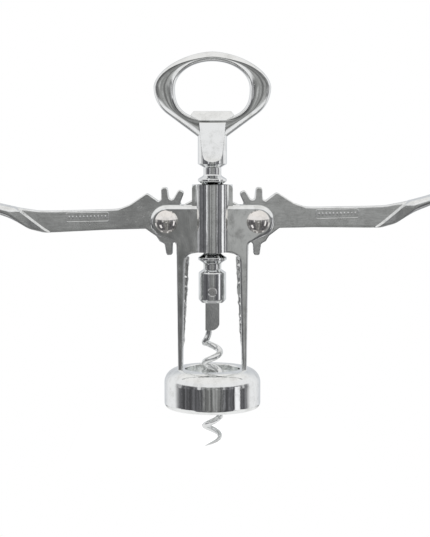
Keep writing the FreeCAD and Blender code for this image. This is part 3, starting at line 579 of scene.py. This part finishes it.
def gearOutline():
    # the hub's outline, round by round: seven blunt teeth on a root circle, then the square shoulder and the
    # straight run back to the underside of the hub
    r = lever
    angles = np.radians(r["firstTooth"] - r["toothStep"] * np.arange(r["toothCount"]))[::-1]
    out = np.array([r["rootRadius"] - 0.1, r["rootRadius"] + 0.5, r["tipRadius"] - 0.9, r["tipRadius"] - 0.25,
                    r["tipRadius"], r["tipRadius"], r["tipRadius"] - 0.25, r["tipRadius"] - 0.9,
                    r["rootRadius"] + 0.5, r["rootRadius"] - 0.1])
    aside = np.array([r["toothRootHalf"] + 0.5, r["toothRootHalf"], r["toothTipHalf"] + 0.05,
                      r["toothTipHalf"] - 0.25, r["toothTipHalf"] - 0.8])
    aside = np.concatenate([-aside, aside[::-1]])
    x = -(out[None, :] * np.cos(angles)[:, None] - aside[None, :] * np.sin(angles)[:, None])
    z = out[None, :] * np.sin(angles)[:, None] + aside[None, :] * np.cos(angles)[:, None]
    return np.concatenate([np.stack([x.ravel(), z.ravel()], axis=-1), np.array(r["shoulder"])])


def makeLeverHub(side):
    # the outline carried through the hub's thickness, its two faces' edges rounded by a bevel
    outline = gearOutline()
    count = len(outline)
    depth = np.array([-lever["hubHalfDepth"], lever["hubHalfDepth"]])
    x = np.repeat(outline[None, :, 0], 2, axis=0)
    z = np.repeat(outline[None, :, 1], 2, axis=0)
    y = depth[:, None] * np.ones_like(x)
    points = placeLever(x, y, z, side)
    faces = gridFaces(2, count) + capFaces(count, 0, True) + capFaces(count, 1, False)
    if side < 0:
        faces = [face[::-1] for face in faces]
    name = sideName(side)
    piece = newPiece("leverHub" + name, points, faces, name.lower() + "_lever", "lever_" + name.lower(),
                     "lever", 40)
    bevel = piece.modifiers.new("edge", "BEVEL")
    bevel.width = lever["edgeRound"] * mm
    bevel.segments = 3
    bevel.limit_method = "ANGLE"
    bevel.angle_limit = math.radians(55)
    return piece


for side in (1, -1):
    makeLeverArm(side)
    makeLeverHub(side)
print("levers made")


panel = {
    "start": 24.5, "length": 17.6, "tall": 3.7, "lift": 2.4, "corner": 0.55, "rim": 0.24, "sink": 0.05,
    "ribCount": 11, "ribTall": 1.5, "ribWide": 0.62, "ribOut": 0.17,
}


def armFace(reach):
    # how far the arm's front stands from its middle, less a little so that what sits on it has no gap behind
    return np.interp(reach, leverDepth["reach"], leverDepth["half"]) - panel["sink"]


def roundedPath(wide, tall, corner, count):
    # a rectangle with round corners: four quarter circles, joined by its straight sides
    turn = np.linspace(0, np.pi / 2, count)
    x, z = [], []
    for i, (sx, sz) in enumerate(((1, 1), (-1, 1), (-1, -1), (1, -1))):
        x.append(sx * (wide / 2 - corner) + corner * np.cos(turn + i * np.pi / 2))
        z.append(sz * (tall / 2 - corner) + corner * np.sin(turn + i * np.pi / 2))
    return np.concatenate(x), np.concatenate(z)


def makePanelRim(side):
    # a small round bead carried along a rounded rectangle on the front of the arm
    r = panel
    middleX = r["start"] + r["length"] / 2
    turn = np.linspace(0, 2 * np.pi, 12, endpoint=False)
    outX, outZ = roundedPath(r["length"], r["tall"], r["corner"], 6)
    spread = r["rim"] * np.cos(turn)[None, :]
    normalX = np.clip(outX / (r["length"] / 2), -1, 1) ** 15
    normalZ = np.clip(outZ / (r["tall"] / 2), -1, 1) ** 15
    normalX, normalZ = normalX / np.hypot(normalX, normalZ), normalZ / np.hypot(normalX, normalZ)
    x = middleX + outX[:, None] + normalX[:, None] * spread
    z = r["lift"] + outZ[:, None] + normalZ[:, None] * spread
    y = -armFace(x) - r["rim"] * 0.8 * np.sin(turn)[None, :]
    points = placeLever(x, y, z, side)
    rows, columns = x.shape
    faces = gridFaces(rows, columns, closeRows=True)
    if side > 0:
        faces = [face[::-1] for face in faces]
    name = sideName(side)
    return newPiece("panelRim" + name, points, faces, name.lower() + "_lever", "lever_" + name.lower(),
                    "lever", 60)


def makePanelRibs(side):
    # a row of small raised pads inside the rim: each is a low dome over a squarish foot, closed behind
    r = panel
    share = np.array([0.2, 0.6, 0.85, 1.0, 1.0])
    out = np.array([1.0, 0.85, 0.5, 0.0, -0.6])
    turn = np.linspace(0, 2 * np.pi, 16, endpoint=False)
    footX = signedPower(np.cos(turn), 0.6) * r["ribWide"] / 2
    footZ = signedPower(np.sin(turn), 0.6) * r["ribTall"] / 2
    pitch = (r["length"] - 2.4) / (r["ribCount"] - 1)
    pieces, faces = [], []
    for i in range(r["ribCount"]):
        middle = r["start"] + 1.2 + pitch * i
        x = middle + share[:, None] * footX[None, :]
        z = r["lift"] + share[:, None] * footZ[None, :]
        y = -armFace(x) - out[:, None] * r["ribOut"]
        pieces.append(placeLever(x, y, z, side).reshape(-1, 3))
        first = i * x.size
        own = gridFaces(len(share), len(turn), first=first)
        own += capFaces(len(turn), 0, True, first) + capFaces(len(turn), len(share) - 1, False, first)
        faces += own
    if side > 0:
        faces = [face[::-1] for face in faces]
    name = sideName(side)
    return newPiece("panelRibs" + name, np.concatenate(pieces), faces, name.lower() + "_lever",
                    "lever_" + name.lower(), "lever", 50)


for side in (1, -1):
    makePanelRim(side)
    makePanelRibs(side)
print("lever panels made")


seam = {
    "top": 62.3, "bottom": 24.0, "legTop": 11.45, "legBottom": 12.5, "reachTop": 1.6, "reachBottom": 0.5,
    "halfDepth": 0.95, "unevenness": 0.22, "rowCount": 260,
}


def uneven(generator, share, cells):
    # a smooth random line between -1 and 1 with this many cells along its length
    knots = generator.uniform(-1, 1, cells + 1)
    return softCurve(np.linspace(0, 1, cells + 1), knots, share, 0.5 / cells)


def makeLegSeam(side):
    # the rough parting line inside a leg: a thin ridge whose height and thickness wander along its length
    r = seam
    generator = np.random.default_rng(5 + side)
    share = np.linspace(0, 1, r["rowCount"])
    z = r["bottom"] + (r["top"] - r["bottom"]) * share
    legFace = r["legBottom"] + (r["legTop"] - r["legBottom"]) * share
    wander = r["unevenness"] * (uneven(generator, share, 22) + 0.5 * uneven(generator, share, 60))
    fade = smoothStep(share, 0.0, 0.05)
    reach = (r["reachBottom"] + (r["reachTop"] - r["reachBottom"]) * share + wander) * fade + 0.05
    thick = r["halfDepth"] * (1 + 0.25 * uneven(generator, share, 30)) * (0.4 + 0.6 * fade)
    turn = np.linspace(0, 2 * np.pi, 24, endpoint=False)
    out = np.cos(turn)[None, :]
    rough = np.stack([uneven(generator, share, 45) for strip in range(6)])
    rough = 1 + 0.07 * np.repeat(rough, 4, axis=0).T
    x = legFace[:, None] - np.where(out > 0, out * reach[:, None], 0.5 * out) * rough
    y = thick[:, None] * signedPower(np.sin(turn)[None, :], 0.8) * rough
    points = np.stack([side * x, y, z[:, None] * np.ones_like(x)], axis=-1) * mm
    rows, columns = x.shape
    faces = gridFaces(rows, columns) + capFaces(columns, 0, True) + capFaces(columns, rows - 1, False)
    if side > 0:
        faces = [face[::-1] for face in faces]
    return newPiece("legSeam" + sideName(side), points, faces, "frame", None, "rough", 180)


for side in (1, -1):
    makeLegSeam(side)
print("leg seams made")
